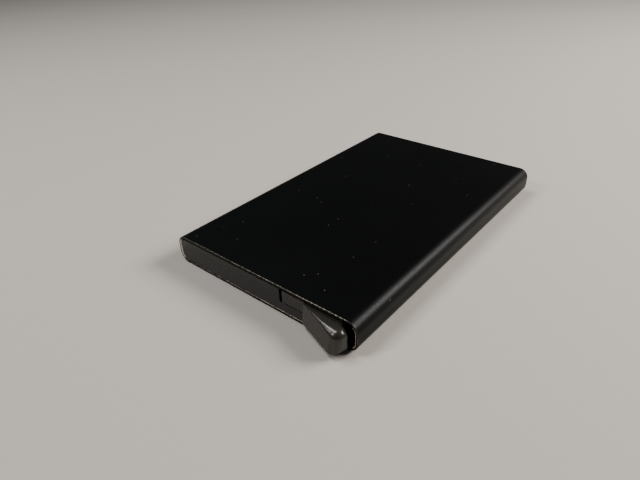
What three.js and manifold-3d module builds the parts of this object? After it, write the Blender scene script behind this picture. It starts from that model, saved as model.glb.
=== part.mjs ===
// Pop-up card wallet: an extruded aluminium sleeve with a moulded end cap, whose sprung
// thumb lever lifts the cards out of the open end as a staggered fan.
// Millimetres. The origin is the centre of the sleeve's bottom face, +X is the thumb tab's
// side, +Y is the open mouth and +Z is up.
import * as THREE from 'three';
import * as BufferGeometryUtils from 'three/addons/utils/BufferGeometryUtils.js';
import Module from 'manifold-3d';

const wasm = await Module();
wasm.setup();

// ---- Driving dimensions -------------------------------------------------------------

// What it holds: ID-1 cards, in a stack as high as the pocket.
const cardWidth = 54;
const cardLength = 85.6;
const pocketHeight = 6.7;
const cardSideRoom = 0.1;
const mouthRecess = 2.9;

// Sleeve: one aluminium extrusion, open at both ends.
const shellWall = 0.9;
const shellCorner = 3;
const rimChamfer = 0.2;

// Side rails, which centre the cards, and the felt strips that grip their edges.
const railWidth = 2.4;
const railFit = 0.15;
const railMouthInset = 0.6;
const railCapGap = 0.3;
const railTipGap = 0.5;
const stripThickness = 0.9;
const stripEdge = 0.85;
const stripLength = 34;
const stripMouthInset = 4;
const stripGlue = 0.05;

// End cap, which plugs the lever's end.
const capDepth = 9.5;
const capFit = 0.2;
const capRecess = 0.15;
const capFrontWall = 1.4;
const capPlateWall = 1;
const capRib = 1.2;
const capCores = 4;
const lipHeight = 2.4;
const slotGap = 0.5;

// Pivot pin, pressed into the cap's round boss.
const pivotToSide = 21.2;
const pinRadius = 0.6;
const pinChamfer = 0.15;
const pinSocketFit = 0.03;
const pinSocketFloor = 0.1;
const pinHubFit = 0.08;
const pinHeadGap = 0.2;

// Torsion spring round the pin, in a recess of the boss.
const springWire = 0.36;
const springPinGap = 0.57;
const springTurns = 2.75;
const springPitch = 0.42;
const springRecessDepth = 1.6;
const springRecessGap = 0.2;
const springFloorGap = 0.1;
const springLegAngle = 90;
const springLegLength = 1.75;
const springLegLift = 0.75;
const springSlotGap = 0.2;
const springGrooveGap = 0.12;

// Stop: a peg on the boss that runs in a curved groove under the lever.
const stopPeg = 0.5;
const stopAngle = 38;
const stopHeight = 1.1;
const stopWall = 1;
const stopSideGap = 0.2;
const stopEndGap = 0.15;
const bossRim = 1.57;

// Lever: hub, arm, thumb tab and stepped fan in one moulding.
const leverSwing = 45;
const leverClearance = 0.3;
const leverSideGap = 0.3;
const hubWall = 0.42;
const hubCorner = 0.7;
const tabStartGap = 0.33;
const tabStep = 1;
const tabSlope = 19.6;
const tabTipDepth = 4.5;
const tabBackSlope = 40;
const tabFaceLean = 5.3;
const tabNose = 2.3;
const tabRidgeStart = 0.25;
const tabRidgeNose = 1.9;
const tabRidgeTip = 1.9;
const tabFaceFoot = 0.3;
const tabTipFoot = 0.9;
const tabSteps = 7;
const fanSteps = 6;
const fanRadiusStep = 1.95;
const fanStart = 12;
const fanEnd = 58;
const fanToCards = 0.4;

// How finely curves are cut into flats, and how far a cut runs past what it cuts.
const arcSteps = 6;
const roundSides = 32;
const envelopeSides = 96;
const springSteps = 84;
const overshoot = 1;

// ---- Places worked out from them ----------------------------------------------------

const rad = THREE.MathUtils.degToRad;

const stripFaceX = cardWidth / 2 + cardSideRoom;
const stripBackX = stripFaceX + stripThickness;
const railInnerX = stripBackX + stripGlue;
const boreX = railInnerX + railWidth + railFit;
const sideX = boreX + shellWall;
const shellHeight = pocketHeight + shellWall * 2;
const shellLength = capDepth + cardLength + mouthRecess;
const endY = -shellLength / 2;
const mouthY = shellLength / 2;
const far = shellLength * 2;

const capBottom = shellWall + capFit;
const capTop = shellHeight - shellWall - capFit;
const capFaceY = endY + capRecess;
const cardStopY = endY + capDepth;
const lipTop = capBottom + lipHeight;

const springRadius = pinRadius + springPinGap + springWire / 2;
const springEnd = (springLegAngle + springTurns * 360) % 360;
const recessRadius = springRadius + springWire / 2 + springRecessGap;
const recessFloor = lipTop - springRecessDepth;
const stopRadius = recessRadius + stopWall + stopPeg;
const bossRadius = stopRadius + stopPeg + bossRim;
const bossSweep = bossRadius + leverSideGap;

const hubRadius = recessRadius + hubWall;
const pivotX = sideX - pivotToSide;
const pivotY = capFaceY + hubRadius;
const windowX = pivotX - hubRadius - slotGap;

const leverBottom = shellWall + leverClearance;
const leverTop = shellHeight - shellWall - leverClearance;
const armBottom = lipTop + leverClearance;
const tipReach = boreX - leverSideGap - pivotX;
const tabStart = Math.sqrt(bossSweep * bossSweep - hubRadius * hubRadius) + tabStartGap;
const fanTopY = cardStopY - fanToCards;

const railToPivot = railInnerX - pivotX;
const railReach = tipReach + railTipGap;
const railStartY = pivotY + Math.sqrt(railReach * railReach - railToPivot * railToPivot);

// ---- Geometry helpers ---------------------------------------------------------------

// A closed three.js geometry as a solid that can be cut and joined. The triangles that have
// shrunk to a line on a lathe's axis are left out.
function solid(geometry) {
  const bare = geometry.index ? geometry.toNonIndexed() : geometry.clone();
  bare.deleteAttribute('normal');
  bare.deleteAttribute('uv');
  const merged = BufferGeometryUtils.mergeVertices(bare, 1e-4);
  const vertProperties = new Float32Array(merged.attributes.position.array);
  const corners = merged.index.array;
  const kept = [];
  for (let i = 0; i < corners.length; i += 3) {
    const [a, b, c] = corners.slice(i, i + 3);
    if (a !== b && b !== c && c !== a) kept.push(a, b, c);
  }
  const triVerts = new Uint32Array(kept);
  return new wasm.Manifold(new wasm.Mesh({ numProp: 3, vertProperties, triVerts }));
}

// The solid back as a geometry, for a mesh.
function geometryOf(manifold) {
  const mesh = manifold.getMesh();
  const geometry = new THREE.BufferGeometry();
  geometry.setAttribute('position', new THREE.BufferAttribute(mesh.vertProperties, 3));
  geometry.setIndex(new THREE.BufferAttribute(mesh.triVerts, 1));
  geometry.computeVertexNormals();
  return geometry;
}

// A plan outline (X, Y) raised from bottom to top.
function prism(shape, bottom, top) {
  const options = { depth: top - bottom, bevelEnabled: false, curveSegments: arcSteps };
  return solid(new THREE.ExtrudeGeometry(shape, options).translate(0, 0, bottom));
}

// A section (X, Z) run along Y from start to end, with an optional chamfer at both ends.
function extrusion(shape, start, end, chamfer = 0) {
  const options = {
    depth: end - start - 2 * chamfer,
    bevelEnabled: chamfer > 0,
    bevelThickness: chamfer,
    bevelSize: chamfer,
    bevelOffset: -chamfer,
    bevelSegments: 1,
    curveSegments: arcSteps,
  };
  const geometry = new THREE.ExtrudeGeometry(shape, options);
  return geometry.rotateX(Math.PI / 2).translate(0, end - chamfer, 0);
}

// The sleeve's rounded section, taken in by inset all round.
function sleeveSection(inset, Kind = THREE.Shape) {
  const x = sideX - inset;
  const low = inset;
  const high = shellHeight - inset;
  const r = shellCorner - inset;
  const path = new Kind();
  path.moveTo(-x + r, low);
  path.lineTo(x - r, low);
  path.absarc(x - r, low + r, r, -Math.PI / 2, 0);
  path.lineTo(x, high - r);
  path.absarc(x - r, high - r, r, 0, Math.PI / 2);
  path.lineTo(-x + r, high);
  path.absarc(-x + r, high - r, r, Math.PI / 2, Math.PI);
  path.lineTo(-x, low + r);
  path.absarc(-x + r, low + r, r, Math.PI, Math.PI * 1.5);
  return path;
}

function box(x0, x1, y0, y1, z0, z1) {
  const geometry = new THREE.BoxGeometry(x1 - x0, y1 - y0, z1 - z0);
  return solid(geometry.translate((x0 + x1) / 2, (y0 + y1) / 2, (z0 + z1) / 2));
}

// An upright cylinder on the pivot's axis, or at a distance and angle from it.
function pivotCylinder(radius, bottom, top, away = 0, degrees = 0) {
  const geometry = new THREE.CylinderGeometry(radius, radius, top - bottom, roundSides);
  geometry.rotateX(Math.PI / 2);
  const x = pivotX + away * Math.cos(rad(degrees));
  const y = pivotY + away * Math.sin(rad(degrees));
  return solid(geometry.translate(x, y, (bottom + top) / 2));
}

// Part of a ring about the pivot, between two radii and two angles.
function pivotArc(inner, outer, from, to, bottom, top) {
  const shape = new THREE.Shape();
  shape.absarc(pivotX, pivotY, outer, rad(from), rad(to));
  shape.absarc(pivotX, pivotY, inner, rad(to), rad(from), true);
  return prism(shape, bottom, top);
}

function material(name, color, roughness, metalness) {
  const made = new THREE.MeshStandardMaterial({ color, roughness, metalness });
  made.name = name;
  return made;
}

function named(name, geometry, finish) {
  const mesh = new THREE.Mesh(geometry, finish);
  mesh.name = name;
  return mesh;
}

const aluminium = material('anodised_aluminium', 0x131314, 0.55, 0.6);
const capPlastic = material('cap_plastic', 0x2e2c29, 0.45, 0);
const leverPlastic = material('lever_plastic', 0x3c3a36, 0.38, 0);
const steel = material('steel', 0x9a9da0, 0.3, 1);
const railPlastic = material('rail_plastic', 0x242321, 0.5, 0);
const felt = material('felt', 0x1a1a1b, 0.95, 0);

// ---- Sleeve -------------------------------------------------------------------------

function makeShell() {
  const section = sleeveSection(0);
  section.holes.push(sleeveSection(shellWall, THREE.Path));
  return named('shell', extrusion(section, endY, mouthY, rimChamfer), aluminium);
}

// ---- End cap ------------------------------------------------------------------------

// Pockets that the mould cores out behind the cap's face, with ribs left between them.
function capPockets() {
  const left = -boreX + capFit + capRib * 2;
  const right = windowX - capRib;
  const pitch = (right - left + capRib) / capCores;
  const pockets = [];
  for (let i = 0; i < capCores; i += 1) {
    const x = left + i * pitch;
    const low = capBottom + capPlateWall;
    const high = capTop - capPlateWall;
    pockets.push(box(x, x + pitch - capRib, capFaceY + capFrontWall, far, low, high));
  }
  return pockets;
}

// The face bar and its pockets, the lip with the pivot's boss, and the stop peg on it.
function makeEndCap() {
  const plug = solid(extrusion(sleeveSection(shellWall + capFit), capFaceY, cardStopY));
  const upperWindow = box(windowX, far, -far, far, lipTop, far);
  const rightSide = box(pivotX, far, -far, far, 0, far);
  const behindBoss = box(windowX, far, pivotY + bossRadius, far, 0, far);
  let cap = plug.subtract(upperWindow).subtract(rightSide).subtract(behindBoss);
  for (const pocket of capPockets()) cap = cap.subtract(pocket);

  const inFront = box(-far, far, -far, capFaceY, 0, far);
  const boss = pivotCylinder(bossRadius, capBottom, lipTop).subtract(inFront);
  cap = cap.add(boss);
  cap = cap.subtract(pivotCylinder(recessRadius, recessFloor, lipTop + overshoot));
  const socketFloor = capBottom + pinSocketFloor / 2;
  cap = cap.subtract(pivotCylinder(pinRadius + pinSocketFit, socketFloor, lipTop));
  cap = cap.subtract(springLegSlot());
  const peg = pivotCylinder(stopPeg, recessFloor, lipTop + stopHeight, stopRadius, stopAngle);
  return named('end_cap', geometryOf(cap.add(peg)), capPlastic);
}

// Slot that holds the spring's lower leg, pointing straight back from the pivot.
function springLegSlot() {
  const half = springWire / 2 + springSlotGap;
  const reach = springRadius + springLegLength + springSlotGap;
  return box(pivotX - half, pivotX + half, pivotY, pivotY + reach, recessFloor, far);
}

// ---- Lever --------------------------------------------------------------------------

// Height of the thumb face's line at a distance x to the right of the pivot.
function tabFaceY(x) {
  return capFaceY - tabStep - (x - tabStart) * Math.tan(rad(tabSlope));
}

// Where the tab's back meets its tip, in Y from the pivot.
function tabBackY() {
  return tabFaceY(tipReach) + tabTipDepth - pivotY;
}

// Plan of the thumb tab at one height, about the pivot: where the sloping face ends, where
// the nose is centred and how far round the tip begins, with face and tip drawn in.
function tabPlan(faceIn, tipIn, nose) {
  const slope = rad(tabSlope);
  const reach = tipReach - tipIn;
  const faceAt = (x) => tabFaceY(x) - pivotY + faceIn / Math.cos(slope);
  let x = reach;
  let y = 0;
  for (let i = 0; i < 20; i += 1) {
    y = faceAt(x) + nose / Math.cos(slope);
    x = Math.sqrt((reach - nose) ** 2 - y * y);
  }
  const noseStart = -Math.PI / 2 - slope;
  const faceEnd = x + nose * Math.cos(noseStart);
  const tipStart = Math.atan2(y, x);
  return { reach, faceAt, x, y, noseStart, faceEnd, tipStart };
}

// One point of the thumb tab's outer skin. Along it, 0 to 1 is the face, 1 to 2 the nose
// and 2 to 3 the tip. The ridge and the foot are quarter rounds, at an angle in radians.
function tabSkin(along, atTop, angle) {
  const { lerp, clamp } = THREE.MathUtils;
  const onFace = clamp(along, 0, 1);
  const onNose = clamp(along - 1, 0, 1);
  const onTip = clamp(along - 2, 0, 1);
  const towardsNose = lerp(tabRidgeStart, tabRidgeNose, onFace ** 3);
  const ridge = lerp(towardsNose, tabRidgeTip, onTip);
  const foot = lerp(tabFaceFoot, tabTipFoot, onNose);
  const round = atTop ? ridge : foot;
  const drawn = round * (1 - Math.cos(angle));
  const rise = round * (1 - Math.sin(angle));
  const z = atTop ? leverTop - rise : leverBottom + rise;
  const faceIn = drawn + (z - leverBottom) * Math.tan(rad(tabFaceLean));
  const nose = tabNose - drawn;
  const plan = tabPlan(faceIn, drawn, nose);
  if (along <= 1) {
    const x = lerp(tabStart, plan.faceEnd, along);
    return [pivotX + x, pivotY + plan.faceAt(x), z];
  }
  if (along <= 2) {
    const turn = lerp(plan.noseStart, plan.tipStart, along - 1);
    const x = plan.x + nose * Math.cos(turn);
    return [pivotX + x, pivotY + plan.y + nose * Math.sin(turn), z];
  }
  const { reach, tipStart } = plan;
  const turn = lerp(tipStart, Math.asin(tabBackY() / reach), along - 2);
  return [pivotX + reach * Math.cos(turn), pivotY + reach * Math.sin(turn), z];
}

// The thumb tab: a sloping face that leans back, a nose, a tip, and a back that runs in
// to the hub. Its top edge is nearly sharp by the hub and well rounded at the nose.
function makeTab() {
  const backX = Math.sqrt(tipReach * tipReach - tabBackY() ** 2);
  const drop = Math.tan(rad(tabBackSlope));
  const rise = Math.tan(rad(fanStart));
  const meetX = (backX * drop + tabBackY()) / (rise + drop);
  const inner = [
    [pivotX + meetX, pivotY + meetX * rise], [pivotX, pivotY + hubRadius],
    [pivotX, capFaceY], [pivotX + tabStart, capFaceY],
  ];
  const rows = [];
  for (const atTop of [false, true]) {
    for (let i = 0; i <= tabSteps; i += 1) {
      const quarter = (Math.PI / 2) * (atTop ? i : tabSteps - i) / tabSteps;
      const row = [];
      for (let j = 0; j <= 3 * tabSteps; j += 1) {
        row.push(tabSkin(j / tabSteps, atTop, quarter));
      }
      const z = row[row.length - 1][2];
      for (const [x, y] of inner) row.push([x, y, z]);
      rows.push(row);
    }
  }
  const count = rows[0].length;
  const index = [];
  for (let i = 0; i + 1 < rows.length; i += 1) {
    for (let j = 0; j < count; j += 1) {
      const a = i * count + j;
      const b = i * count + ((j + 1) % count);
      index.push(a, b, b + count, a, b + count, a + count);
    }
  }
  for (const [row, flip] of [[0, true], [rows.length - 1, false]]) {
    const contour = rows[row].map(([x, y]) => new THREE.Vector2(x, y));
    for (const [a, b, c] of THREE.ShapeUtils.triangulateShape(contour, [])) {
      const face = flip ? [a, c, b] : [a, b, c];
      index.push(...face.map((k) => row * count + k));
    }
  }
  const geometry = new THREE.BufferGeometry();
  geometry.setAttribute('position', new THREE.Float32BufferAttribute(rows.flat(2), 3));
  geometry.setIndex(index);
  return solid(geometry);
}

// Everything that can swing inside the sleeve: a disc round the pivot whose rim has the
// bore's rounded corners.
function swingEnvelope() {
  const round = shellCorner - leverSideGap - shellWall;
  const profile = new THREE.Path();
  profile.moveTo(0, leverBottom);
  profile.lineTo(tipReach - round, leverBottom);
  profile.absarc(tipReach - round, leverBottom + round, round, -Math.PI / 2, 0);
  profile.absarc(tipReach - round, leverTop - round, round, 0, Math.PI / 2);
  profile.lineTo(0, leverTop);
  const geometry = new THREE.LatheGeometry(profile.getPoints(arcSteps), envelopeSides);
  geometry.rotateX(Math.PI / 2).translate(pivotX, pivotY, 0);
  return solid(geometry);
}

// One step of the fan: the longest step is the lowest, so each card rises less than the
// one below it.
function fanStep(index) {
  const radius = tipReach - index * fanRadiusStep;
  const rise = (leverTop - leverBottom) / fanSteps;
  const top = leverBottom + (index + 1) * rise;
  const sector = pivotArc(pinRadius, radius, fanStart, fanEnd, leverBottom, top);
  return sector.subtract(box(-far, far, fanTopY, far, 0, far));
}

// Arm and hub, flush with the cap's face to the left of the thumb tab.
function armOutline() {
  const left = pivotX - hubRadius;
  const shape = new THREE.Shape();
  shape.moveTo(left + hubCorner, capFaceY);
  shape.lineTo(pivotX + tabStart, capFaceY);
  shape.lineTo(pivotX + tabStart, pivotY + hubRadius);
  shape.lineTo(pivotX, pivotY + hubRadius);
  shape.absarc(pivotX, pivotY, hubRadius, Math.PI / 2, Math.PI);
  shape.absarc(left + hubCorner, capFaceY + hubCorner, hubCorner, Math.PI, Math.PI * 1.5);
  return shape;
}

function makeLever() {
  let lever = makeTab().add(prism(armOutline(), leverBottom, leverTop));
  for (let i = 0; i < fanSteps; i += 1) lever = lever.add(fanStep(i));
  lever = lever.intersect(swingEnvelope());
  lever = lever.subtract(pivotCylinder(bossSweep, 0, armBottom));
  lever = lever.subtract(pivotCylinder(pinRadius + pinHubFit, 0, far));

  lever = lever.subtract(pegGroove()).subtract(springGroove());
  return named('lever', geometryOf(lever), leverPlastic);
}

// Groove under the lever for a peg of a given radius, which it meets at both ends of the
// lever's swing.
function swingGroove(away, degrees, radius, sideGap, endGap, top) {
  const half = radius + sideGap;
  const endDegrees = THREE.MathUtils.radToDeg((radius + endGap) / away);
  const from = degrees - leverSwing - endDegrees;
  return pivotArc(away - half, away + half, from, degrees + endDegrees, 0, top);
}

function pegGroove() {
  const top = lipTop + stopHeight + leverClearance;
  return swingGroove(stopRadius, stopAngle, stopPeg, stopSideGap, stopEndGap, top);
}

// The spring's upper leg stands at 0 degrees: the coil's turns bring it there.
function springGroove() {
  const top = lipTop + springLegLift + leverClearance;
  const gap = springGrooveGap;
  return swingGroove(springRadius, springEnd, springWire / 2, gap, gap, top);
}

// ---- Pin and spring -----------------------------------------------------------------

function makePin() {
  const bottom = capBottom + pinSocketFloor;
  const top = leverTop - pinHeadGap;
  const profile = [
    new THREE.Vector2(0, bottom),
    new THREE.Vector2(pinRadius - pinChamfer, bottom),
    new THREE.Vector2(pinRadius, bottom + pinChamfer),
    new THREE.Vector2(pinRadius, top - pinChamfer),
    new THREE.Vector2(pinRadius - pinChamfer, top),
    new THREE.Vector2(0, top),
  ];
  const geometry = new THREE.LatheGeometry(profile, roundSides);
  geometry.rotateX(Math.PI / 2).translate(pivotX, pivotY, 0);
  return named('pivot_pin', geometry, steel);
}

// Wire's centre line: a leg that points back, the coil, and a leg turned up.
class SpringPath extends THREE.Curve {
  getPoint(t, target = new THREE.Vector3()) {
    const floor = recessFloor + springFloorGap + springWire / 2;
    const coilLength = Math.PI * 2 * springRadius * springTurns;
    const coilTop = floor + springPitch * springTurns;
    const upLength = lipTop + springLegLift - coilTop;
    const at = t * (springLegLength + coilLength + upLength) - springLegLength;
    if (at < 0) return target.set(0, springRadius - at, floor);
    const along = Math.min(at / coilLength, 1);
    const angle = rad(springLegAngle + along * springTurns * 360);
    const height = THREE.MathUtils.lerp(floor, coilTop, along);
    target.set(Math.cos(angle) * springRadius, Math.sin(angle) * springRadius, height);
    target.z += Math.max(at - coilLength, 0);
    return target;
  }
}

function makeSpring() {
  const section = new THREE.Shape();
  section.absarc(0, 0, springWire / 2, 0, Math.PI * 2);
  const extrudePath = new SpringPath();
  const options = { steps: springSteps, curveSegments: 4, bevelEnabled: false, extrudePath };
  const geometry = new THREE.ExtrudeGeometry(section, options);
  return named('return_spring', geometry.translate(pivotX, pivotY, 0), steel);
}

// ---- Rails and grip strips ----------------------------------------------------------

// One side's slice of the bore section, from its outer wall in to a given X.
function sideSlice(side, innerX, start, end) {
  const full = solid(extrusion(sleeveSection(shellWall + railFit), start, end));
  const keep = side > 0 ? box(innerX, far, -far, far, 0, far) : box(-far, -innerX, -far, far, 0, far);
  return full.intersect(keep);
}

function makeLeftRail() {
  const rail = sideSlice(-1, railInnerX, cardStopY + railCapGap, mouthY - railMouthInset);
  return named('left_rail', geometryOf(rail), railPlastic);
}

// The right rail starts beyond the sweep of the lever's tip.
function makeRightRail() {
  const rail = sideSlice(1, railInnerX, railStartY, mouthY - railMouthInset);
  return named('right_rail', geometryOf(rail), railPlastic);
}

function makeStrip(name, side) {
  const shape = new THREE.Shape();
  const low = Math.min(side * stripFaceX, side * stripBackX);
  const high = Math.max(side * stripFaceX, side * stripBackX);
  const bottom = shellWall + stripEdge;
  const top = shellHeight - shellWall - stripEdge;
  shape.moveTo(low, bottom);
  shape.lineTo(high, bottom);
  shape.lineTo(high, top);
  shape.lineTo(low, top);
  const end = mouthY - stripMouthInset;
  return named(name, extrusion(shape, end - stripLength, end), felt);
}

// ---- Assembly -----------------------------------------------------------------------

const wallet = new THREE.Group();
wallet.add(makeShell());
wallet.add(makeEndCap());
wallet.add(makeLever());
wallet.add(makePin());
wallet.add(makeSpring());
wallet.add(makeLeftRail());
wallet.add(makeRightRail());
wallet.add(makeStrip('left_grip_strip', -1));
wallet.add(makeStrip('right_grip_strip', 1));

export default wallet;
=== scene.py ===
# %% [markdown]
# # A pop-up card wallet in aluminium and plastic
#
# The real thing is a flat black tube of extruded aluminium with a plastic cap in one end.
# A sprung lever in the cap pushes a stack of bank cards out of the open end. This file
# dresses the engineering model of that wallet: the frame fixes where everything is and
# how the lever swings, and each cell below makes one piece or one finish that sits on it.

# %% Load the frame
import math

import bmesh
import bpy
from mathutils import Matrix, Vector


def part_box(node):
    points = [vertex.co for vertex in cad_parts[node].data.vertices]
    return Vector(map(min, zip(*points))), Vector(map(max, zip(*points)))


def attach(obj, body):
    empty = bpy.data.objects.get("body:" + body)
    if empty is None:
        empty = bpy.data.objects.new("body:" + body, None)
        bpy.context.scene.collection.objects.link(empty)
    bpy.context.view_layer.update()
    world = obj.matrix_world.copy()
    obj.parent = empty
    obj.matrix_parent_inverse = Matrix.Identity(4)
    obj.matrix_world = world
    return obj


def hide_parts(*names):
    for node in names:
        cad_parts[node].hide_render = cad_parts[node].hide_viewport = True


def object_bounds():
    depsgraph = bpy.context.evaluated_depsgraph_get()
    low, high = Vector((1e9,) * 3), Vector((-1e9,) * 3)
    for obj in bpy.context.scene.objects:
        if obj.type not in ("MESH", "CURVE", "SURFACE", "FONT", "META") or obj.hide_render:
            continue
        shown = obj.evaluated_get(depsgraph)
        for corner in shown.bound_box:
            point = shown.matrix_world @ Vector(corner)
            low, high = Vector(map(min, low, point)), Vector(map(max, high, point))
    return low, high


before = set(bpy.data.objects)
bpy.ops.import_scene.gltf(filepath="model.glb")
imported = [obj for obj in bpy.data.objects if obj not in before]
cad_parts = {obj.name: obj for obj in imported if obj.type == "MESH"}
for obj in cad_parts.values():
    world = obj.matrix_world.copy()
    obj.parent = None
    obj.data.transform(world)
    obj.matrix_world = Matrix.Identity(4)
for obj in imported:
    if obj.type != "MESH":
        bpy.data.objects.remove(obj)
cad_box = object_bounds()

# %% [markdown]
# ## Working in millimetres
#
# Blender's unit is the metre, but a wallet is drawn in millimetres, and mesh cuts are
# steadier on numbers near 1 than near 0.001. So every piece is built in millimetres and
# shrunk once, at the end. Colours are chosen as the hex values a painter would read off
# a screen, and one function turns them into the linear light that a renderer adds up.

# %% Units and colour
MM = 0.001


def node_box(node):
    """A node's lowest and highest corner, in millimetres."""
    low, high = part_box(node)
    return Vector(low) / MM, Vector(high) / MM


def linear(hex_colour):
    """An sRGB hex colour as linear red, green, blue and full alpha."""
    parts = [int(hex_colour[i:i + 2], 16) / 255 for i in (1, 3, 5)]
    lit = [c / 12.92 if c <= 0.04045 else ((c + 0.055) / 1.055) ** 2.4 for c in parts]
    return (*lit, 1)


def repeats(size_mm):
    """Texture scale that gives a pattern of this size, for coordinates in metres."""
    return 1 / (size_mm * MM)


print("mid grey #808080 is", [round(c, 3) for c in linear("#808080")[:3]], "in linear light")

# %% [markdown]
# ## Camera
#
# The wallet is seen from close by, from its lever end and a little to the right, with
# the lens of a phone. The camera looks at a point on the wallet from a set direction
# and distance, which is easier to reason about than a position and three angles.

# %% Camera
AZIMUTH = math.radians(40.67)
ELEVATION = math.radians(32.66)
ROLL = math.radians(-2.06)
CAMERA_DISTANCE = 0.1487
LENS = 28.95
AIM_TO_LEVER_END = 0.0221
AIM_TO_LEFT = 0.0015

shell_low, shell_high = (Vector(corner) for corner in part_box("shell"))
aim = (shell_low + shell_high) / 2 - Vector((AIM_TO_LEFT, AIM_TO_LEVER_END, 0))

back = Vector((
    math.sin(AZIMUTH) * math.cos(ELEVATION),
    -math.cos(AZIMUTH) * math.cos(ELEVATION),
    math.sin(ELEVATION),
))
level = Vector((0, 0, 1)).cross(back).normalized()
right = Matrix.Rotation(ROLL, 3, back) @ level
up = back.cross(right)

camera_data = bpy.data.cameras.new("camera")
camera_data.lens = LENS
camera_data.sensor_width = 36
camera_data.clip_start = 0.01
camera = bpy.data.objects.new("camera", camera_data)
camera.matrix_world = Matrix.Translation(aim + back * CAMERA_DISTANCE) @ Matrix(
    (right, up, back)
).transposed().to_4x4()
bpy.context.collection.objects.link(camera)
bpy.context.scene.camera = camera
print("camera at", [round(v, 4) for v in camera.matrix_world.translation])

# %% [markdown]
# ## Light
#
# A black object shows only what it reflects, so the lights are placed for their
# reflections. A soft panel overhead draws the streak along the lever's rounded ridge. A
# second, high behind the right side, draws the band along the sleeve's long edge. A third,
# small and low in front, draws the fine lines on the cap's edges; it and the second are a
# little warm. The top face mirrors the air low behind the wallet, and that is left dim, so
# the top stays close to black.

# %% Light
WARM = "#fff7ef"
NEUTRAL = "#ffffff"
SKY = "#d5d8dc"
SKY_STRENGTH = 0.11


def area_light(name, position, size, power, colour):
    """A square soft light, turned to face the frame's origin, the middle of the wallet."""
    data = bpy.data.lights.new(name, "AREA")
    data.size = size
    data.energy = power
    data.color = linear(colour)[:3]
    light = bpy.data.objects.new(name, data)
    light.location = position
    light.rotation_euler = (-Vector(position)).to_track_quat("-Z", "Y").to_euler()
    bpy.context.collection.objects.link(light)
    return light


area_light("upper_left_panel", (-0.27, -0.11, 0.58), 0.24, 2.6, NEUTRAL)
area_light("back_right_panel", (0.36, 0.36, 0.38), 0.28, 7.2, WARM)
area_light("front_left_panel", (-0.3, -0.44, 0.42), 0.08, 1.6, WARM)

world = bpy.data.worlds.new("studio")
world.use_nodes = True
background = world.node_tree.nodes["Background"]
background.inputs["Color"].default_value = linear(SKY)
background.inputs["Strength"].default_value = SKY_STRENGTH
bpy.context.scene.world = world

# %% [markdown]
# ## Making materials
#
# Every finish is a small network of nodes. One helper adds a node, sets its values and
# plugs in what feeds it, so a material reads from top to bottom like a recipe. The
# coordinates are each piece's own, in metres, so a pattern has one size on every piece
# and stays put when the lever turns.

# %% Node helper
def add(tree, kind, feeds=(), **values):
    """Adds a node, sets inputs or settings by name, and links its feeds into it."""
    node = tree.nodes.new(kind)
    for name, value in values.items():
        if name in node.bl_rna.properties:
            setattr(node, name, value)
        else:
            node.inputs[name.replace("_", " ")].default_value = value
    for socket, source in dict(feeds).items():
        tree.links.new(source, node.inputs[socket])
    return node


def start_material(name):
    """An empty material with its shader, and the piece's own coordinates."""
    material = bpy.data.materials.new(name)
    material.use_nodes = True
    tree = material.node_tree
    tree.nodes.clear()
    shader = tree.nodes.new("ShaderNodeBsdfPrincipled")
    output = tree.nodes.new("ShaderNodeOutputMaterial")
    tree.links.new(shader.outputs["BSDF"], output.inputs["Surface"])
    place = tree.nodes.new("ShaderNodeTexCoord").outputs["Object"]
    return material, tree, shader, place


print("node helper ready")

# %% [markdown]
# ## Bead-blasted, black anodised aluminium
#
# The sleeve is blasted with fine glass beads, which leaves pits of about a tenth of a
# millimetre, then anodised and dyed black. The eye reads a metal that is nearly black
# face on and silvery at a glancing angle, with a fine grain in its highlights. The
# grain is drawn at a quarter of a millimetre, since the real pits are too fine to see
# here. Dust sticks to such a surface: a pale speck lies in some cells of a Voronoi
# pattern, and a speck isn't metal, so it scatters light where the metal mirrors it.

# %% Anodised aluminium
DUST_SPACING = 2.6
BARE_SHARE = 0.72


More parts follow.
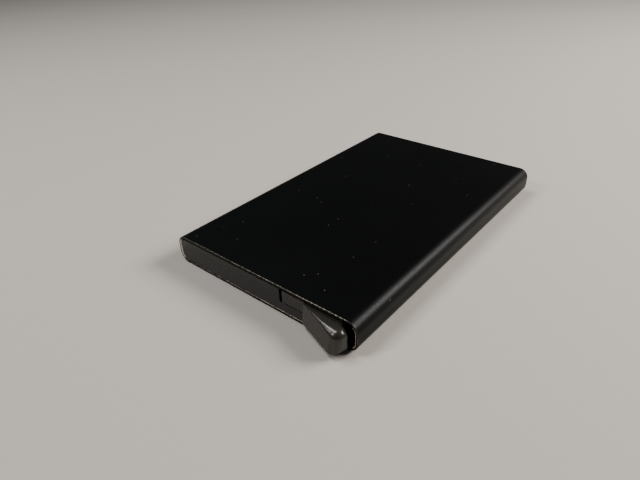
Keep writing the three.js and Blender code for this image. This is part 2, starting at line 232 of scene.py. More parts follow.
def anodised_aluminium():
    material, tree, shader, place = start_material(
        "aluminium, bead-blasted and anodised black"
    )
    handling = add(tree, "ShaderNodeTexNoise", {"Vector": place}, Scale=repeats(14), Detail=3)
    colour = add(
        tree, "ShaderNodeMix", {"Factor": handling.outputs["Fac"]}, data_type="RGBA",
        A=linear("#161718"), B=linear("#1d1e1f"),
    )
    grain = add(tree, "ShaderNodeTexNoise", {"Vector": place}, Scale=repeats(0.25), Detail=4)
    rough = add(
        tree, "ShaderNodeMapRange", {"Value": grain.outputs["Fac"]},
        From_Min=0.3, From_Max=0.7, To_Min=0.36, To_Max=0.54,
    )
    pits = add(
        tree, "ShaderNodeBump", {"Height": grain.outputs["Fac"]},
        Strength=0.35, Distance=0.02 * MM,
    )

    cells = add(tree, "ShaderNodeTexVoronoi", {"Vector": place}, Scale=repeats(DUST_SPACING))
    speck = add(
        tree, "ShaderNodeMapRange", {"Value": cells.outputs["Distance"]},
        From_Min=0.03, From_Max=0.075, To_Min=1, To_Max=0,
    )
    chance = add(tree, "ShaderNodeSeparateColor", {"Color": cells.outputs["Color"]})
    kept = add(tree, "ShaderNodeMath", {0: chance.outputs["Red"]}, operation="GREATER_THAN")
    kept.inputs[1].default_value = BARE_SHARE
    dust = add(
        tree, "ShaderNodeMath", {0: speck.outputs["Result"], 1: kept.outputs["Value"]},
        operation="MULTIPLY",
    )
    dusty = add(
        tree, "ShaderNodeMix", {"Factor": dust.outputs["Value"], "A": colour.outputs["Result"]},
        data_type="RGBA", B=linear("#5b5853"),
    )
    metal = add(tree, "ShaderNodeMath", {1: dust.outputs["Value"]}, operation="SUBTRACT")
    metal.inputs[0].default_value = 1

    tree.links.new(dusty.outputs["Result"], shader.inputs["Base Color"])
    tree.links.new(metal.outputs["Value"], shader.inputs["Metallic"])
    tree.links.new(rough.outputs["Result"], shader.inputs["Roughness"])
    tree.links.new(pits.outputs["Normal"], shader.inputs["Normal"])
    return material


ANODISED = anodised_aluminium()
print("made", ANODISED.name)

# %% [markdown]
# ## The sawn rim
#
# Each end of the tube is sawn, tumbled to take off the burr and anodised with the rest.
# The film is thin on the crest of that small round and rubs through first, so the rim
# shows as a fine, broken, bright line. At the sides, the inner edge is given a pale, dull
# metal colour, a painted highlight for the bright line that light draws along it there.

# %% Rim and edge with painted highlight
def worn_rim():
    material, tree, shader, place = start_material("aluminium edge, tumbled, film rubbed thin")
    wear = add(tree, "ShaderNodeTexNoise", {"Vector": place}, Scale=repeats(0.5), Detail=4)
    spots = add(
        tree, "ShaderNodeMapRange", {"Value": wear.outputs["Fac"]},
        From_Min=0.4, From_Max=0.62, To_Min=0, To_Max=1,
    )
    colour = add(
        tree, "ShaderNodeMix", {"Factor": spots.outputs["Result"]}, data_type="RGBA",
        A=linear("#252422"), B=linear("#5b5751"),
    )
    grain = add(tree, "ShaderNodeTexNoise", {"Vector": place}, Scale=repeats(0.25), Detail=3)
    pits = add(
        tree, "ShaderNodeBump", {"Height": grain.outputs["Fac"]},
        Strength=0.4, Distance=0.02 * MM,
    )
    tree.links.new(colour.outputs["Result"], shader.inputs["Base Color"])
    tree.links.new(pits.outputs["Normal"], shader.inputs["Normal"])
    shader.inputs["Metallic"].default_value = 1
    shader.inputs["Roughness"].default_value = 0.36
    return material


def pale_edge_with_painted_highlight():
    material, tree, shader, place = start_material("aluminium edge, pale, with painted highlight")
    marks = add(
        tree, "ShaderNodeTexNoise", {"Vector": place}, Scale=repeats(0.3), Detail=4,
    )
    # The pale colour is a painted highlight: it stands in for the bright line that light draws
    # along the bore's side edges.
    colour = add(
        tree, "ShaderNodeMix", {"Factor": marks.outputs["Fac"]}, data_type="RGBA",
        A=linear("#c4bfb5"), B=linear("#e2ded5"),
    )
    burr = add(
        tree, "ShaderNodeBump", {"Height": marks.outputs["Fac"]},
        Strength=0.5, Distance=0.03 * MM,
    )
    tree.links.new(colour.outputs["Result"], shader.inputs["Base Color"])
    tree.links.new(burr.outputs["Normal"], shader.inputs["Normal"])
    shader.inputs["Metallic"].default_value = 1
    shader.inputs["Roughness"].default_value = 0.6
    return material


RIM = worn_rim()
PAINTED_HIGHLIGHT_EDGE = pale_edge_with_painted_highlight()
print("made", RIM.name, "|", PAINTED_HIGHLIGHT_EDGE.name)

# %% [markdown]
# ## Moulded plastics
#
# The cap is ABS from a spark-eroded mould, which gives it an even satin skin. The lever
# is nylon from a polished mould: a dark warm grey, a little lighter than the cap and
# smoother. The rails are ABS drawn through a die, and keep its faint lines along their
# length. One function makes all three, since they differ in colour, gloss and grain.

# %% Plastics
CLOUD_SIZE = 5
GLOSS_SPREAD = 0.03


def plastic(name, dark, light, roughness, grain_mm, depth, ior, stretch=(1, 1, 1)):
    material, tree, shader, place = start_material(name)
    moved = add(tree, "ShaderNodeMapping", {"Vector": place}, Scale=stretch)
    cloud = add(tree, "ShaderNodeTexNoise", {"Vector": place}, Scale=repeats(CLOUD_SIZE), Detail=4)
    skin = add(
        tree, "ShaderNodeTexNoise", {"Vector": moved.outputs["Vector"]},
        Scale=repeats(grain_mm), Detail=4,
    )
    rough = add(
        tree, "ShaderNodeMapRange", {"Value": skin.outputs["Fac"]},
        From_Min=0.25, From_Max=0.75,
        To_Min=roughness - GLOSS_SPREAD, To_Max=roughness + GLOSS_SPREAD,
    )
    relief = add(
        tree, "ShaderNodeBump", {"Height": skin.outputs["Fac"]},
        Strength=0.5, Distance=depth * MM,
    )
    colour = add(
        tree, "ShaderNodeMix", {"Factor": cloud.outputs["Fac"]}, data_type="RGBA",
        A=linear(dark), B=linear(light),
    )
    tree.links.new(colour.outputs["Result"], shader.inputs["Base Color"])
    tree.links.new(rough.outputs["Result"], shader.inputs["Roughness"])
    tree.links.new(relief.outputs["Normal"], shader.inputs["Normal"])
    shader.inputs["IOR"].default_value = ior
    return material


CAP_PLASTIC = plastic(
    "ABS, moulded in a spark-eroded tool", "#080807", "#0d0c0b", 0.28, 0.2, 0.005, 1.5,
)
LEVER_PLASTIC = plastic(
    "nylon, moulded in a polished tool", "#1d1b18", "#24221e", 0.28, 0.35, 0.002, 1.53,
)
RAIL_PLASTIC = plastic(
    "ABS, drawn through a die", "#151514", "#1d1c1b", 0.46, 0.22, 0.008, 1.54, (1, 0.03, 1),
)
print("made", CAP_PLASTIC.name, "|", LEVER_PLASTIC.name, "|", RAIL_PLASTIC.name)

# %% [markdown]
# ## Steel and felt
#
# The pin and the spring are drawn steel: a clean metal with fine scratches along the
# drawing direction. The grip strips are pressed wool felt, which has no gloss at all
# but a pale fuzz where fibres stand up and catch light from behind.

# %% Steel and felt
def drawn_steel():
    material, tree, shader, place = start_material("steel, cold drawn")
    along = add(tree, "ShaderNodeMapping", {"Vector": place}, Scale=(1, 1, 0.05))
    lines = add(
        tree, "ShaderNodeTexNoise", {"Vector": along.outputs["Vector"]},
        Scale=repeats(0.1), Detail=3,
    )
    rough = add(
        tree, "ShaderNodeMapRange", {"Value": lines.outputs["Fac"]},
        From_Min=0.3, From_Max=0.7, To_Min=0.18, To_Max=0.34,
    )
    colour = add(
        tree, "ShaderNodeMix", {"Factor": lines.outputs["Fac"]}, data_type="RGBA",
        A=linear("#8d8e90"), B=linear("#a5a6a8"),
    )
    tree.links.new(colour.outputs["Result"], shader.inputs["Base Color"])
    tree.links.new(rough.outputs["Result"], shader.inputs["Roughness"])
    shader.inputs["Metallic"].default_value = 1
    return material


def pressed_felt():
    material, tree, shader, place = start_material("wool felt, pressed and dyed black")
    fibres = add(
        tree, "ShaderNodeTexNoise", {"Vector": place}, Scale=repeats(0.3), Detail=6,
        Distortion=1.5,
    )
    colour = add(
        tree, "ShaderNodeMix", {"Factor": fibres.outputs["Fac"]}, data_type="RGBA",
        A=linear("#0d0d0e"), B=linear("#2a2a2c"),
    )
    nap = add(
        tree, "ShaderNodeBump", {"Height": fibres.outputs["Fac"]},
        Strength=0.8, Distance=0.08 * MM,
    )
    tree.links.new(colour.outputs["Result"], shader.inputs["Base Color"])
    tree.links.new(nap.outputs["Normal"], shader.inputs["Normal"])
    shader.inputs["Roughness"].default_value = 0.95
    shader.inputs["Sheen Weight"].default_value = 0.35
    shader.inputs["Sheen Roughness"].default_value = 0.5
    return material


STEEL = drawn_steel()
FELT = pressed_felt()
print("made", STEEL.name, "|", FELT.name)

# %% [markdown]
# ## Floor
#
# A sheet of pale matt paper, with no pattern that could draw the eye. It reaches well past
# the view from any side, so no edge shows.

# %% Floor
FLOOR_SIZE = 6.0


def paper():
    material, tree, shader, place = start_material("paper, uncoated")
    tooth = add(tree, "ShaderNodeTexNoise", {"Vector": place}, Scale=repeats(1.2), Detail=3)
    colour = add(
        tree, "ShaderNodeMix", {"Factor": tooth.outputs["Fac"]}, data_type="RGBA",
        A=linear("#a5a29d"), B=linear("#aaa7a2"),
    )
    tree.links.new(colour.outputs["Result"], shader.inputs["Base Color"])
    shader.inputs["Roughness"].default_value = 0.9
    return material


floor_mesh = bpy.data.meshes.new("floor")
half = FLOOR_SIZE / 2
corners = [(-half, -half, 0), (half, -half, 0), (half, half, 0), (-half, half, 0)]
floor_mesh.from_pydata(corners, [], [(0, 1, 2, 3)])
floor = bpy.data.objects.new("floor", floor_mesh)
floor.location.z = cad_box[0][2]
bpy.context.collection.objects.link(floor)
floor_mesh.materials.append(paper())
print("floor at height", floor.location.z)

# %% [markdown]
# ## Building blocks for the pieces
#
# Moulded parts are prisms that were joined and cut: a plan outline is raised to a
# height, other prisms are added or taken away, and the sharp edges left over are
# rounded, because a mould is never perfectly sharp. Outlines are lists of points, and
# round stretches in them come from one arc function.

# %% Outlines and prisms
ARC_STEP = 5


def arc(x, y, radius, start, end):
    """Points on an arc, in degrees, both ends included."""
    count = max(1, math.ceil(abs(end - start) / ARC_STEP))
    angles = [math.radians(start + (end - start) * i / count) for i in range(count + 1)]
    return [(x + radius * math.cos(a), y + radius * math.sin(a)) for a in angles]


def new_object(name, mesh):
    made = bpy.data.objects.new(name, mesh)
    bpy.context.collection.objects.link(made)
    return made


def prism(outline, low, high, along="Z"):
    """An outline raised from low to high. Along Y, the outline is X and Z."""
    def corner(point, level_at):
        if along == "Z":
            return (point[0], point[1], level_at)
        return (point[0], level_at, point[1])

    count = len(outline)
    points = [corner(p, low) for p in outline] + [corner(p, high) for p in outline]
    faces = [[(i + 1) % count, i, i + count, (i + 1) % count + count] for i in range(count)]
    faces += [list(range(count)), list(reversed(range(count, 2 * count)))]
    mesh = bpy.data.meshes.new("prism")
    mesh.from_pydata(points, [], faces)
    shape = bmesh.new()
    shape.from_mesh(mesh)
    bmesh.ops.recalc_face_normals(shape, faces=shape.faces)
    shape.to_mesh(mesh)
    shape.free()
    return new_object("prism", mesh)


def block(x0, x1, y0, y1, z0, z1):
    return prism([(x0, y0), (x1, y0), (x1, y1), (x0, y1)], z0, z1)


print("a full circle takes", len(arc(0, 0, 1, 0, 360)) - 1, "sides")

# %% [markdown]
# ## Cutting, rounding and finishing
#
# Cuts use the manifold solver, which is quick and keeps every body closed. It leaves
# needless points on flat faces, so those are dissolved before the edges are rounded.

# %% Cuts, rounds and finish
SAME_POINT = 0.002
FLAT_WITHIN = math.radians(1)
SHARP_FROM = math.radians(25)
ROUND_SEGMENTS = 3


def combine(base, tool, operation):
    """Joins, cuts or intersects the base with a tool, and uses the tool up."""
    step = base.modifiers.new("combine", "BOOLEAN")
    step.operation = operation
    step.solver = "MANIFOLD"
    step.object = tool
    graph = bpy.context.evaluated_depsgraph_get()
    result = bpy.data.meshes.new_from_object(base.evaluated_get(graph))
    base.modifiers.clear()
    base.data = result
    bpy.data.objects.remove(tool)
    return base


def soften(piece, radius, chosen=None):
    """Rounds the piece's sharp edges, or those of them that chosen picks."""
    shape = bmesh.new()
    shape.from_mesh(piece.data)
    bmesh.ops.remove_doubles(shape, verts=shape.verts, dist=SAME_POINT)
    bmesh.ops.dissolve_limit(
        shape, angle_limit=FLAT_WITHIN, verts=shape.verts, edges=shape.edges,
    )
    sharp = [
        e for e in shape.edges
        if e.is_manifold and e.calc_face_angle() > SHARP_FROM and (chosen is None or chosen(e))
    ]
    bmesh.ops.bevel(
        shape, geom=sharp, offset=radius, segments=ROUND_SEGMENTS, profile=0.5,
        affect="EDGES", clamp_overlap=True,
    )
    shape.to_mesh(piece.data)
    shape.free()


def finish_piece(piece, name, material, body, replaced):
    """Names a piece built in millimetres, shrinks it to metres and puts it on the frame."""
    piece.name = name
    piece.data.name = name
    piece.data.transform(Matrix.Scale(MM, 4))
    piece.data.materials.clear()
    piece.data.materials.append(material)
    for face in piece.data.polygons:
        face.use_smooth = True
    tidy_normals = piece.modifiers.new("tidy_normals", "WEIGHTED_NORMAL")
    tidy_normals.keep_sharp = True
    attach(piece, body)
    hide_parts(replaced)
    print(f"{name}: {len(piece.data.vertices)} points, {len(piece.data.polygons)} faces")
    return piece


print("edges sharper than", round(math.degrees(SHARP_FROM)), "degrees get rounded")

# %% [markdown]
# ## The sleeve
#
# A rounded rectangle swept along a line would do for the outside, but the tube also
# has an inside and two soft rims. So the sleeve is one loop rolled round the section:
# out along the outer skin, over the rounded rim at the mouth, back along the bore and
# over the rim at the lever's end. The outer rounds get the worn metal, the inner ones at
# the sides a pale metal that is a painted highlight, and the rest the black.

# %% Sleeve section
WALL = 0.9
CORNER = 3.0
OUTER_ROUND = 0.2
INNER_ROUND = 0.42
# How far up or down an inner round may face and still carry the painted highlight.
HIGHLIGHT_EDGE_BELOW = 0.75
RIM_SEGMENTS = 6
CORNER_SEGMENTS = 20
EDGE_RUNOUTS = (0.25, 0.8, 2.4)
# Finishes round the wall: black, worn rim, and the pale edge that is a painted highlight.
BLACK, WORN, HIGHLIGHT_EDGE = range(3)


def section_points(low, high):
    """Corner centre and direction for each point round the section, anticlockwise."""
    centres = [
        (high.x - CORNER, low.z + CORNER, -90), (high.x - CORNER, high.z - CORNER, 0),
        (low.x + CORNER, high.z - CORNER, 90), (low.x + CORNER, low.z + CORNER, 180),
    ]
    points = []
    for index, (x, z, start) in enumerate(centres):
        for i in range(CORNER_SEGMENTS + 1):
            angle = math.radians(start + 90 * i / CORNER_SEGMENTS)
            points.append((x, z, math.cos(angle), math.sin(angle)))
        next_x, next_z, _ = centres[(index + 1) % 4]
        gap = math.hypot(next_x - x, next_z - z)
        turn = (math.cos(math.radians(start + 90)), math.sin(math.radians(start + 90)))
        near = [run / gap for run in EDGE_RUNOUTS if run < gap / 2]
        for share in near + [1 - n for n in reversed(near)]:
            points.append((x + (next_x - x) * share, z + (next_z - z) * share, *turn))
    return points


def wall_profile(start, end):
    """Depth into the wall, place along Y and finish, for one trip round the wall."""
    outer, inner = OUTER_ROUND, INNER_ROUND
    profile = []
    for r, depth, y, first, finish in (
        (outer, outer, end - outer, 90, WORN),
        (inner, WALL - inner, end - inner, 0, HIGHLIGHT_EDGE),
        (inner, WALL - inner, start + inner, -90, HIGHLIGHT_EDGE),
        (outer, outer, start + outer, 180, WORN),
    ):
        for i in range(RIM_SEGMENTS + 1):
            angle = math.radians(first - 90 * i / RIM_SEGMENTS)
            place = (depth - r * math.sin(angle), y + r * math.cos(angle))
            profile.append((*place, finish if i < RIM_SEGMENTS else BLACK))
    return profile


print("wall profile:", len(wall_profile(0, 1)), "points")


# %% Sleeve
def make_sleeve():
    low, high = node_box("shell")
    section = section_points(low, high)
    profile = wall_profile(low.y, high.y)
    points = []
    for x, z, out_x, out_z in section:
        for depth, y, _ in profile:
            reach = CORNER - depth
            points.append((x + reach * out_x, y, z + reach * out_z))
    rows, columns = len(section), len(profile)
    faces = []
    for i in range(rows):
        for j in range(columns):
            a, b = i * columns, ((i + 1) % rows) * columns
            k = (j + 1) % columns
            faces.append((a + j, a + k, b + k, b + j))
    mesh = bpy.data.meshes.new("sleeve")
    mesh.from_pydata(points, [], faces)
    sleeve = new_object("sleeve", mesh)
    finish_piece(sleeve, "sleeve", ANODISED, "holder", "shell")
    mesh.materials.append(RIM)
    mesh.materials.append(PAINTED_HIGHLIGHT_EDGE)
    for index, face in enumerate(mesh.polygons):
        row, column = divmod(index, columns)
        face.material_index = profile[column][2]
        upward = section[row][3]
        # The painted highlight stays on the inner rounds at the sides; at the top they go black,
        # at the bottom worn metal.
        if face.material_index == HIGHLIGHT_EDGE and abs(upward) > HIGHLIGHT_EDGE_BELOW:
            face.material_index = BLACK if upward > 0 else WORN
    return sleeve


make_sleeve()

# %% [markdown]
# ## The end cap
#
# A plug that fills the bore, with a flat face level with the rim. On its right the
# upper half is cut away for the lever, which leaves a lip: the lip carries the round
# boss that holds the pin, a recess for the spring and a small stop peg. Behind the
# face the mould has cored out pockets to keep the wall even. A cut that has to go right
# through runs from BELOW the wallet, or to a place well BEYOND it.

# %% Cap sizes
WINDOW_GAP = 0.5
BORE_CORNER = CORNER - WALL
CAP_FIT = 0.2
CAP_EDGE = 0.3
FRONT_WALL = 1.4
PLATE_WALL = 1.0
RIB = 1.2
POCKETS = 4
LIP_HEIGHT = 2.4
RECESS_RADIUS = 1.73
RECESS_DEPTH = 1.6
PEG_RADIUS = 0.5
PEG_REACH = 3.23
PEG_ANGLE = 38
PEG_HEIGHT = 1.1
BEYOND = 60
BELOW = -1

cap_low, cap_high = node_box("end_cap")
lever_low, lever_high = node_box("lever")
pin_low, pin_high = node_box("pivot_pin")
pivot = (pin_low + pin_high) / 2
pin_radius = (pin_high.x - pin_low.x) / 2
boss_radius = cap_high.x - pivot.x
hub_radius = pivot.x - lever_low.x
lip_top = cap_low.z + LIP_HEIGHT
print("pivot at", [round(v, 2) for v in pivot], "boss radius", round(boss_radius, 2))


# %% End cap

def plug_outline():
    """The bore's section, in X and Z, less the cap's fit."""
    x, low, high = -cap_low.x, cap_low.z, cap_high.z
    r = BORE_CORNER - CAP_FIT
    return (
        arc(x - r, low + r, r, -90, 0) + arc(x - r, high - r, r, 0, 90)
        + arc(-x + r, high - r, r, 90, 180) + arc(-x + r, low + r, r, 180, 270)
    )


def disc(radius, low, high, away=0, degrees=0):
    """An upright cylinder on the pivot, or at a distance and angle from it."""
    x = pivot.x + away * math.cos(math.radians(degrees))
    y = pivot.y + away * math.sin(math.radians(degrees))
    return prism(arc(x, y, radius, 0, 360)[:-1], low, high)


def make_cap():
    window_x = pivot.x - hub_radius - WINDOW_GAP
    cap = prism(plug_outline(), cap_low.y, cap_high.y, along="Y")
    combine(cap, block(window_x, BEYOND, -BEYOND, BEYOND, lip_top, BEYOND), "DIFFERENCE")
    combine(cap, block(pivot.x, BEYOND, -BEYOND, BEYOND, BELOW, BEYOND), "DIFFERENCE")
    behind = block(window_x, BEYOND, pivot.y + boss_radius, BEYOND, BELOW, BEYOND)
    combine(cap, behind, "DIFFERENCE")
    left = cap_low.x + 2 * RIB
    pitch = (window_x - RIB - left + RIB) / POCKETS
    for i in range(POCKETS):
        x = left + i * pitch
        low, high = cap_low.z + PLATE_WALL, cap_high.z - PLATE_WALL
        pocket = block(x, x + pitch - RIB, cap_low.y + FRONT_WALL, BEYOND, low, high)
        combine(cap, pocket, "DIFFERENCE")

    boss = disc(boss_radius, cap_low.z, lip_top)
    combine(boss, block(-BEYOND, BEYOND, -BEYOND, cap_low.y, BELOW, BEYOND), "DIFFERENCE")
    combine(cap, boss, "UNION")
    combine(cap, disc(RECESS_RADIUS, lip_top - RECESS_DEPTH, BEYOND), "DIFFERENCE")
    peg = disc(PEG_RADIUS, lip_top - PEG_HEIGHT, lip_top + PEG_HEIGHT, PEG_REACH, PEG_ANGLE)
    combine(cap, peg, "UNION")
    soften(cap, CAP_EDGE)
    return finish_piece(cap, "end_cap_moulding", CAP_PLASTIC, "holder", "end_cap")


make_cap()

# %% [markdown]
# ## The lever
#
# One moulding does three jobs. Outside, the thumb tab slopes away from the cap's face and
# ends in a rounded nose. The hub turns on the pin. Inside, a fan of steps lifts each card
# by a different amount: the longest step is the lowest. Everything that swings stays
# inside a disc struck from the pivot.
#
# A bevel can't make the tab, since its top ridge is nearly sharp at the hub and grows well
# rounded at the nose. So the tab is lofted: its outline is drawn afresh at each height,
# pulled in by the amount that the round calls for there.

# %% Tab sizes
TIP_REACH = 20.0
TAB_STEP = 1.0
TAB_SLOPE = math.radians(19.6)
TAB_FACE_LEAN = math.radians(5.3)
TAB_TIP_DEPTH = 4.5
TAB_BACK_SLOPE = math.radians(40)
TAB_NOSE = 2.3
TAB_RIDGE_START = 0.25
TAB_RIDGE_NOSE = 1.9
TAB_RIDGE_TIP = 1.9
TAB_FACE_FOOT = 0.3
TAB_TIP_FOOT = 0.9
TAB_STEPS = 14
TAB_GAP = 0.33
NOSE_TRIES = 20
RIDGE_GROWTH = 3
LEVER_GAP = 0.3
FAN_START = 12

face_y = cap_low.y
boss_sweep = boss_radius + LEVER_GAP
tab_start = math.sqrt(boss_sweep ** 2 - hub_radius ** 2) + TAB_GAP
tab_corner_y = face_y - TAB_STEP - (TIP_REACH - tab_start) * math.tan(TAB_SLOPE)
tab_back_y = tab_corner_y + TAB_TIP_DEPTH - pivot.y
print("tab starts", round(tab_start, 2), "mm from the pivot and ends at", TIP_REACH)


# %% Tab skin
def mix(first, second, share):
    return first + (second - first) * share


def tab_plan(face_in, tip_in, nose):
    """The tab's plan at one height, about the pivot: its face line, nose and tip."""
    reach = TIP_REACH - tip_in

    def face_at(x):
        base = face_y - TAB_STEP - (x - tab_start) * math.tan(TAB_SLOPE)
        return base - pivot.y + face_in / math.cos(TAB_SLOPE)

    x, y = reach, 0
    for _ in range(NOSE_TRIES):
        y = face_at(x) + nose / math.cos(TAB_SLOPE)
        x = math.sqrt((reach - nose) ** 2 - y * y)
    nose_start = -math.pi / 2 - TAB_SLOPE
    face_end = x + nose * math.cos(nose_start)
    return reach, face_at, x, y, nose_start, face_end, math.atan2(y, x)


def tab_skin(along, at_top, angle):
    """A point of the tab's skin: 0 to 1 on the face, to 2 on the nose, to 3 on the tip."""
    on_face, on_nose, on_tip = (min(max(along - i, 0), 1) for i in range(3))
    towards_nose = mix(TAB_RIDGE_START, TAB_RIDGE_NOSE, on_face ** RIDGE_GROWTH)
    ridge = mix(towards_nose, TAB_RIDGE_TIP, on_tip)
    curve = ridge if at_top else mix(TAB_FACE_FOOT, TAB_TIP_FOOT, on_nose)
    drawn = curve * (1 - math.cos(angle))
    rise = curve * (1 - math.sin(angle))
    z = lever_high.z - rise if at_top else lever_low.z + rise
    face_in = drawn + (z - lever_low.z) * math.tan(TAB_FACE_LEAN)
    nose = TAB_NOSE - drawn
    plan = tab_plan(face_in, drawn, nose)
    reach, face_at, nose_x, nose_y, nose_start, face_end, tip_start = plan
    if along <= 1:
        x = mix(tab_start, face_end, along)
        return pivot.x + x, pivot.y + face_at(x), z
    if along <= 2:
        turn = mix(nose_start, tip_start, along - 1)
        x, y = nose_x + nose * math.cos(turn), nose_y + nose * math.sin(turn)
        return pivot.x + x, pivot.y + y, z
    turn = mix(tip_start, math.asin(tab_back_y / reach), along - 2)
    return pivot.x + reach * math.cos(turn), pivot.y + reach * math.sin(turn), z


print("nose centre:", [round(v, 2) for v in tab_plan(0, 0, TAB_NOSE)[2:4]], "from the pivot")


# %% Tab
def make_tab():
    """The thumb tab's skin as rows of points from its foot to its top, closed at both."""
    back_x = math.sqrt(TIP_REACH ** 2 - tab_back_y ** 2)
    drop, rise = math.tan(TAB_BACK_SLOPE), math.tan(math.radians(FAN_START))
    meet_x = (back_x * drop + tab_back_y) / (rise + drop)
    inner = [
        (pivot.x + meet_x, pivot.y + meet_x * rise), (pivot.x, pivot.y + hub_radius),
        (pivot.x, face_y), (pivot.x + tab_start, face_y),
    ]
    rows = []
    for at_top in (False, True):
        for i in range(TAB_STEPS + 1):
            share = i if at_top else TAB_STEPS - i
            quarter = math.pi / 2 * share / TAB_STEPS
            row = [
                tab_skin(j / TAB_STEPS, at_top, quarter) for j in range(3 * TAB_STEPS + 1)
            ]
            rows.append(row + [(x, y, row[-1][2]) for x, y in inner])
    count = len(rows[0])
    faces = []
    for i in range(len(rows) - 1):
        for j in range(count):
            a, b = i * count + j, i * count + (j + 1) % count
            faces.append((a, b, b + count, a + count))
    last = (len(rows) - 1) * count
    faces += [list(reversed(range(count))), list(range(last, last + count))]
    mesh = bpy.data.meshes.new("tab")
    mesh.from_pydata([point for row in rows for point in row], [], faces)
    return new_object("tab", mesh)


print("tab rows:", 2 * (TAB_STEPS + 1), "of", 3 * TAB_STEPS + 1, "points on the skin")

# %% Hub, arm and fan
HUB_CORNER = 0.7
FAN_STEPS = 6
FAN_STEP_RADIUS = 1.95
FAN_END = 58
ENVELOPE_SIDES = 144
AXIS_POINTS = 0.0005


def arm_outline():
    left = lever_low.x
    tab_x = pivot.x + tab_start
    return (
        arc(left + HUB_CORNER, face_y + HUB_CORNER, HUB_CORNER, 180, 270)
        + [(tab_x, face_y), (tab_x, pivot.y + hub_radius)]
        + arc(pivot.x, pivot.y, hub_radius, 90, 180)
    )


def fan_step(index):
    """One step: a sector of a disc, cut off square where the cards stand on it."""
    radius = TIP_REACH - index * FAN_STEP_RADIUS
    rise = (lever_high.z - lever_low.z) / FAN_STEPS
    outline = (
        arc(pivot.x, pivot.y, radius, FAN_START, FAN_END)
        + arc(pivot.x, pivot.y, pin_radius, FAN_END, FAN_START)
    )
    step = prism(outline, lever_low.z, lever_low.z + (index + 1) * rise)
    combine(step, block(-BEYOND, BEYOND, lever_high.y, BEYOND, BELOW, BEYOND), "DIFFERENCE")
    return step


def swing_envelope():
    """A disc round the pivot, with the bore's rounded corners on its rim."""
    r = BORE_CORNER - LEVER_GAP
    low, high = lever_low.z, lever_high.z
    rim = arc(TIP_REACH - r, low + r, r, -90, 0) + arc(TIP_REACH - r, high - r, r, 0, 90)
    shape = bmesh.new()
    profile = [(0, low)] + rim + [(0, high)]
    points = [shape.verts.new((x, 0, z)) for x, z in profile]
    edges = [shape.edges.new(pair) for pair in zip(points, points[1:])]
    bmesh.ops.spin(
        shape, geom=points + edges, cent=(0, 0, 0), axis=(0, 0, 1),
        angle=math.tau, steps=ENVELOPE_SIDES, use_duplicate=False,
    )
    bmesh.ops.remove_doubles(shape, verts=shape.verts, dist=AXIS_POINTS)
    bmesh.ops.recalc_face_normals(shape, faces=shape.faces)
    bmesh.ops.translate(shape, verts=shape.verts, vec=(pivot.x, pivot.y, 0))
    mesh = bpy.data.meshes.new("envelope")
    shape.to_mesh(mesh)
    shape.free()
    return new_object("envelope", mesh)


print("fan radii:", [round(TIP_REACH - i * FAN_STEP_RADIUS, 2) for i in range(FAN_STEPS)])

# %% Lever
LEVER_EDGE = 0.18
PIN_GAP = 0.08
SEAM = 0.01


def off_the_tab(edge):
    """Leaves out the tab's own rounded skin, which needs no more rounding."""
    middle = (edge.verts[0].co + edge.verts[1].co) / 2
    return middle.x < pivot.x + tab_start + SEAM or middle.y > pivot.y


def make_lever():
    low, high = lever_low.z, lever_high.z
    lever = make_tab()
    combine(lever, prism(arm_outline(), low, high), "UNION")
    for index in range(FAN_STEPS):
        combine(lever, fan_step(index), "UNION")
    combine(lever, swing_envelope(), "INTERSECT")
    combine(lever, disc(boss_sweep, BELOW, lip_top + LEVER_GAP), "DIFFERENCE")
    combine(lever, disc(pin_radius + PIN_GAP, BELOW, BEYOND), "DIFFERENCE")
    soften(lever, LEVER_EDGE, chosen=off_the_tab)
    return finish_piece(lever, "lever_moulding", LEVER_PLASTIC, "lever", "lever")


make_lever()

# %% [markdown]
# ## Pin, spring, rails and felt
#
# The frame's own pin has the right shape and only needs its steel. The spring's wire is
# a real round wire here: a curve with a thickness. Each rail fills a side of the bore
# out to its rounded corners. Each felt strip is a soft pad: a rounded block, remeshed into
# small cells, with two crossed waves a few millimetres long to press it a little uneven.

# %% Pin and spring wire
WIRE = 0.36
SPRING_RADIUS = 1.35
SPRING_TURNS = 2.75
SPRING_RISE = 0.42
STEPS_PER_TURN = 32

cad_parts["pivot_pin"].data.materials.clear()
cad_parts["pivot_pin"].data.materials.append(STEEL)
print("pivot_pin: radius", round(pin_radius, 2), "in", STEEL.name)


def make_spring():
    low, high = node_box("return_spring")
    floor_z = low.z + WIRE / 2
    points = [(pivot.x, high.y, floor_z)]
    steps = round(SPRING_TURNS * STEPS_PER_TURN)
    for i in range(steps + 1):
        angle = math.radians(90 + 360 * i / STEPS_PER_TURN)
        z = floor_z + SPRING_RISE * i / STEPS_PER_TURN
        x = pivot.x + SPRING_RADIUS * math.cos(angle)
        points.append((x, pivot.y + SPRING_RADIUS * math.sin(angle), z))
    points.append((points[-1][0], points[-1][1], high.z))
    data = bpy.data.curves.new("spring_wire", "CURVE")
    data.dimensions = "3D"
    data.bevel_depth = WIRE / 2 * MM
    data.bevel_resolution = 4
    data.use_fill_caps = True
    line = data.splines.new("POLY")
    line.points.add(len(points) - 1)
    for target, point in zip(line.points, points):
        target.co = (*[v * MM for v in point], 1)
    spring = new_object("spring_wire", data)
    data.materials.append(STEEL)
    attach(spring, "holder")
    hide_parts("return_spring")
    print("spring_wire:", len(points), "points along the wire")


make_spring()

# %% Rails
RAIL_FIT = 0.15
RAIL_EDGE = 0.2


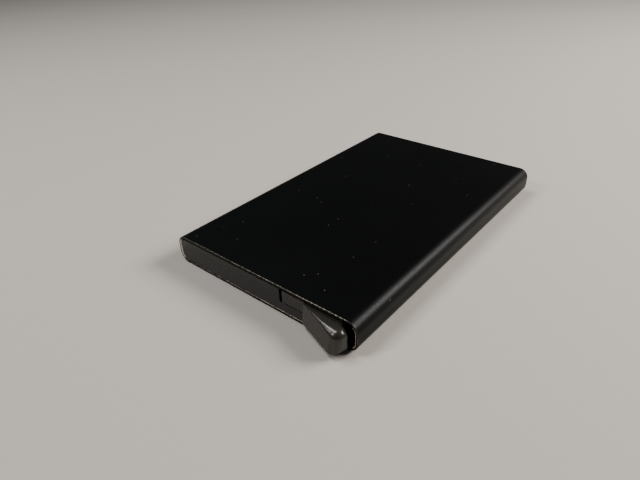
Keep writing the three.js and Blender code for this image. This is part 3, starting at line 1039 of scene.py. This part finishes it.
def make_rail(node, name):
    low, high = node_box(node)
    side = 1 if low.x > 0 else -1
    outer, inner = (high.x, low.x) if side > 0 else (low.x, high.x)
    r = BORE_CORNER - RAIL_FIT
    x = outer - side * r
    outline = [(inner, low.z), (inner, high.z)]
    outline += arc(x, high.z - r, r, 90, 90 - side * 90)
    outline += arc(x, low.z + r, r, 90 - side * 90, 90 - side * 180)
    rail = prism(outline, low.y, high.y, along="Y")
    soften(rail, RAIL_EDGE)
    finish_piece(rail, name, RAIL_PLASTIC, "holder", node)


make_rail("left_rail", "left_rail_extrusion")
make_rail("right_rail", "right_rail_extrusion")

# %% Felt strips
FELT_CELL = 0.35
FELT_UNEVEN = 0.05
FELT_EDGE = 0.25
WAVES = ((1.9, 2.3), (0.7, 3.1))
WAVE_SHIFT = 1.3


def make_strip(node, name):
    low, high = node_box(node)
    shape = bmesh.new()
    bmesh.ops.create_cube(shape, size=1)
    size = high - low
    bmesh.ops.scale(shape, vec=size, verts=shape.verts)
    bmesh.ops.translate(shape, vec=(low + high) / 2, verts=shape.verts)
    bmesh.ops.bevel(
        shape, geom=shape.edges, offset=FELT_EDGE, segments=3, profile=0.5, affect="EDGES",
    )
    mesh = bpy.data.meshes.new(name)
    shape.to_mesh(mesh)
    shape.free()
    strip = new_object(name, mesh)
    cells = strip.modifiers.new("cells", "REMESH")
    cells.mode = "VOXEL"
    cells.voxel_size = FELT_CELL
    graph = bpy.context.evaluated_depsgraph_get()
    strip.data = bpy.data.meshes.new_from_object(strip.evaluated_get(graph))
    strip.modifiers.clear()
    centre = (low.x + high.x) / 2
    (first_y, first_z), (second_y, second_z) = WAVES
    for vertex in strip.data.vertices:
        x, y, z = vertex.co
        first = math.sin(y * first_y + z * first_z)
        second = math.sin(z * second_z - y * second_y + WAVE_SHIFT)
        vertex.co.x += (centre - x) * FELT_UNEVEN * (1 + first * second)
    finish_piece(strip, name, FELT, "holder", node)


make_strip("left_grip_strip", "left_felt_pad")
make_strip("right_grip_strip", "right_felt_pad")
